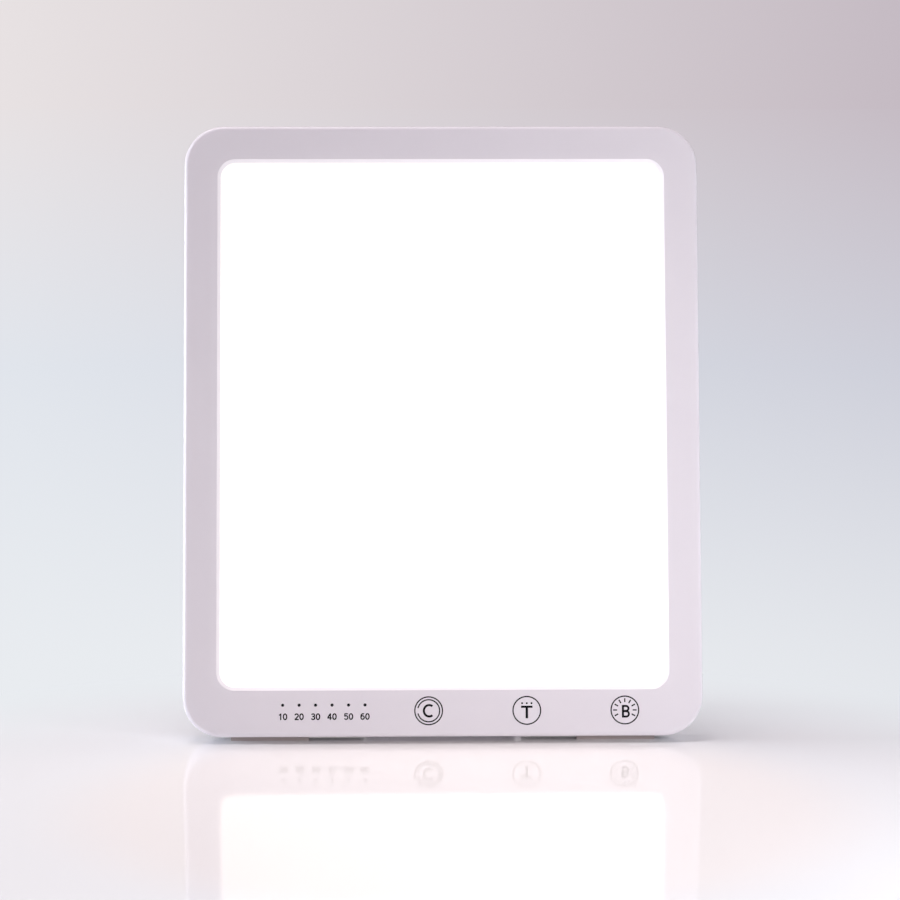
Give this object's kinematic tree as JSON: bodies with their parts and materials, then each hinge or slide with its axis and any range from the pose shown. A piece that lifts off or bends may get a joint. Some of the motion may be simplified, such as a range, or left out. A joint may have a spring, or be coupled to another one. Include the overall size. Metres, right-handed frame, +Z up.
{
  "type": "light therapy lamp",
  "caption": "Thin rounded-rectangle light panel with a large opal screen and touch controls, leaning back on foot strips and a fold-flat hinged rear leg.",
  "frame": {"origin": "on the surface it stands on, under the middle of the whole object's box", "axes": "+Z up, the lit screen faces -Y and leans back 12 degrees, +X to the right as the screen is seen"},
  "size_m": [0.24, 0.0824, 0.2817],
  "materials": {
    "white_housing": "satin",
    "black_foam": "matte",
    "conductive_foam": "matte",
    "opal_acrylic": "satin",
    "film": "satin",
    "clear_acrylic": "gloss",
    "reflector": "gloss",
    "aluminium_plate": "satin",
    "white_circuit_board": "satin",
    "led_package": "satin",
    "lead_insulation": "satin",
    "green_circuit_board": "satin",
    "smoked_acrylic": "gloss",
    "ferrite": "matte",
    "capacitor_can": "satin",
    "moulded_epoxy": "matte",
    "connector_nylon": "satin",
    "jack_housing": "satin",
    "nickel_contact": "gloss",
    "zinc_screw": "satin",
    "steel_pin": "satin",
    "grey_silicone": "matte"
  },
  "bodies": {
    "lamp": {"front_frame": "white_housing", "back_cover": "white_housing", "foam_gasket": "black_foam", "key_pads": "conductive_foam", "diffuser_panel": "opal_acrylic", "diffuser_film": "film", "light_guide": "clear_acrylic", "reflector_sheet": "reflector", "heat_spreader": "aluminium_plate", "led_strip_right": "white_circuit_board", "led_strip_left": "white_circuit_board", "led_chips_right": "led_package", "led_chips_left": "led_package", "led_leads_right": "lead_insulation", "led_leads_left": "lead_insulation", "control_board": "green_circuit_board", "indicator_light_pipe": "smoked_acrylic", "indicator_leds": "led_package", "power_inductors": "ferrite", "board_capacitors": "capacitor_can", "dimmer_transistors": "moulded_epoxy", "microcontroller": "moulded_epoxy", "strip_connectors": "connector_nylon", "dc_jack": "jack_housing", "dc_jack_pin": "nickel_contact", "cover_screws": "zinc_screw", "plate_screws": "zinc_screw", "board_screws": "zinc_screw", "hinge_pin_right": "steel_pin", "hinge_pin_left": "steel_pin", "hinge_washers": "steel_pin", "bottom_foot_right": "grey_silicone", "bottom_foot_left": "grey_silicone"},
    "leg": {"stand_leg": "white_housing", "stand_foot": "grey_silicone"}
  },
  "joints": [
    {"name": "leg_hinge", "type": "hinge", "parent": "lamp", "child": "leg", "pos_m": [0, 0.0122, 0.18616], "axis": [-1, 0, 0], "range_deg": [0, 20]}
  ]
}
